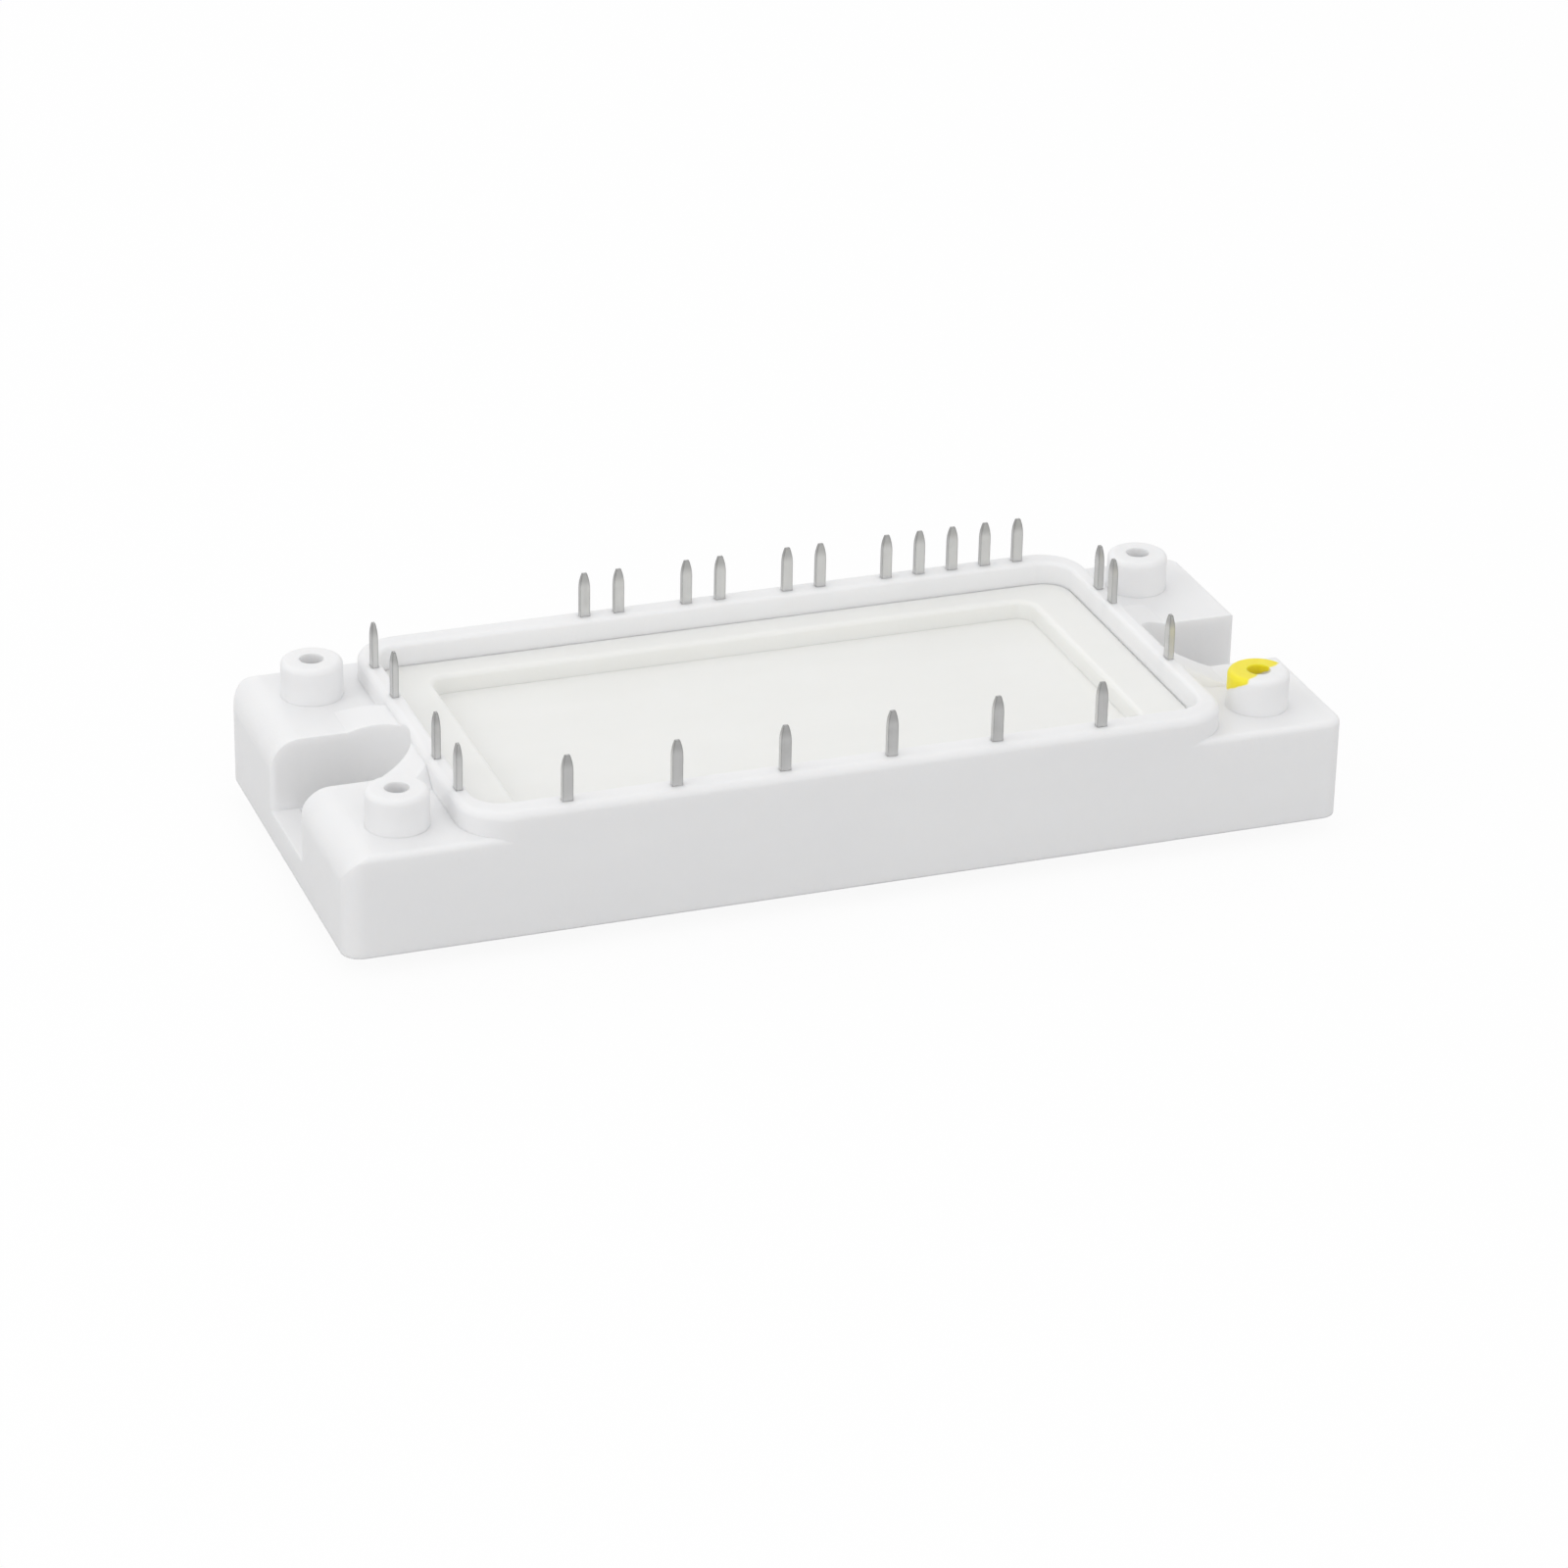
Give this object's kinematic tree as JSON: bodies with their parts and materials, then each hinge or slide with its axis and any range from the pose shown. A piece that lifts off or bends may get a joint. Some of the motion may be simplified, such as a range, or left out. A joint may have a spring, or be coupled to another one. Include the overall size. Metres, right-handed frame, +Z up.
{
  "type": "power semiconductor module",
  "caption": "White moulded power module with rows of solder pins, four board stand-offs, a dished lid, screw pockets at both ends and a metal heatsink plate underneath.",
  "frame": {"origin": "the middle of the footprint, on the heatsink face that lies on the cooler", "axes": "+X along the length towards the end with three pins, +Y across towards the row of eleven pins, +Z up towards the circuit board"},
  "size_m": [0.1076, 0.045, 0.0205],
  "materials": {
    "housing_plastic": "plain white glass-filled thermoplastic, satin, fine moulding grain",
    "lid_plastic": "slightly creamy white thermoplastic, satin",
    "nickel_plate": "nickel plating on copper, dull grey",
    "sealant": "cured silicone adhesive, matt",
    "tinned_pin": "matt tin plating on copper",
    "solder": "solder layer",
    "board_copper": "bare copper layer bonded to ceramic",
    "ceramic_board": "white alumina",
    "silicon": "metallised silicon chip",
    "thermistor_body": "dark ceramic chip",
    "bond_wire": "aluminium wire",
    "soft_gel": "clear soft silicone gel"
  },
  "bodies": {
    "root": {"housing": "housing_plastic", "lid": "lid_plastic", "heatsink_plate": "nickel_plate", "sealant_bead": "sealant", "pin_01": "tinned_pin", "pin_02": "tinned_pin", "pin_03": "tinned_pin", "pin_04": "tinned_pin", "pin_05": "tinned_pin", "pin_06": "tinned_pin", "pin_07": "tinned_pin", "pin_08": "tinned_pin", "pin_09": "tinned_pin", "pin_10": "tinned_pin", "pin_11": "tinned_pin", "pin_12": "tinned_pin", "pin_13": "tinned_pin", "pin_14": "tinned_pin", "pin_15": "tinned_pin", "pin_16": "tinned_pin", "pin_17": "tinned_pin", "pin_18": "tinned_pin", "pin_19": "tinned_pin", "pin_20": "tinned_pin", "pin_21": "tinned_pin", "pin_22": "tinned_pin", "pin_23": "tinned_pin", "pin_24": "tinned_pin", "board_solder_left": "solder", "board_solder_right": "solder", "back_copper_left": "board_copper", "back_copper_right": "board_copper", "ceramic_left": "ceramic_board", "ceramic_right": "ceramic_board", "circuit_copper_left": "board_copper", "circuit_copper_right": "board_copper", "igbt_chip_01": "silicon", "igbt_chip_02": "silicon", "igbt_chip_03": "silicon", "igbt_chip_04": "silicon", "igbt_chip_05": "silicon", "igbt_chip_06": "silicon", "igbt_chip_07": "silicon", "freewheel_diode_01": "silicon", "freewheel_diode_02": "silicon", "freewheel_diode_03": "silicon", "freewheel_diode_04": "silicon", "freewheel_diode_05": "silicon", "freewheel_diode_06": "silicon", "freewheel_diode_07": "silicon", "rectifier_diode_01": "silicon", "rectifier_diode_02": "silicon", "rectifier_diode_03": "silicon", "rectifier_diode_04": "silicon", "rectifier_diode_05": "silicon", "rectifier_diode_06": "silicon", "thermistor": "thermistor_body", "bond_wires": "bond_wire", "gel_fill": "soft_gel"}
  },
  "joints": []
}
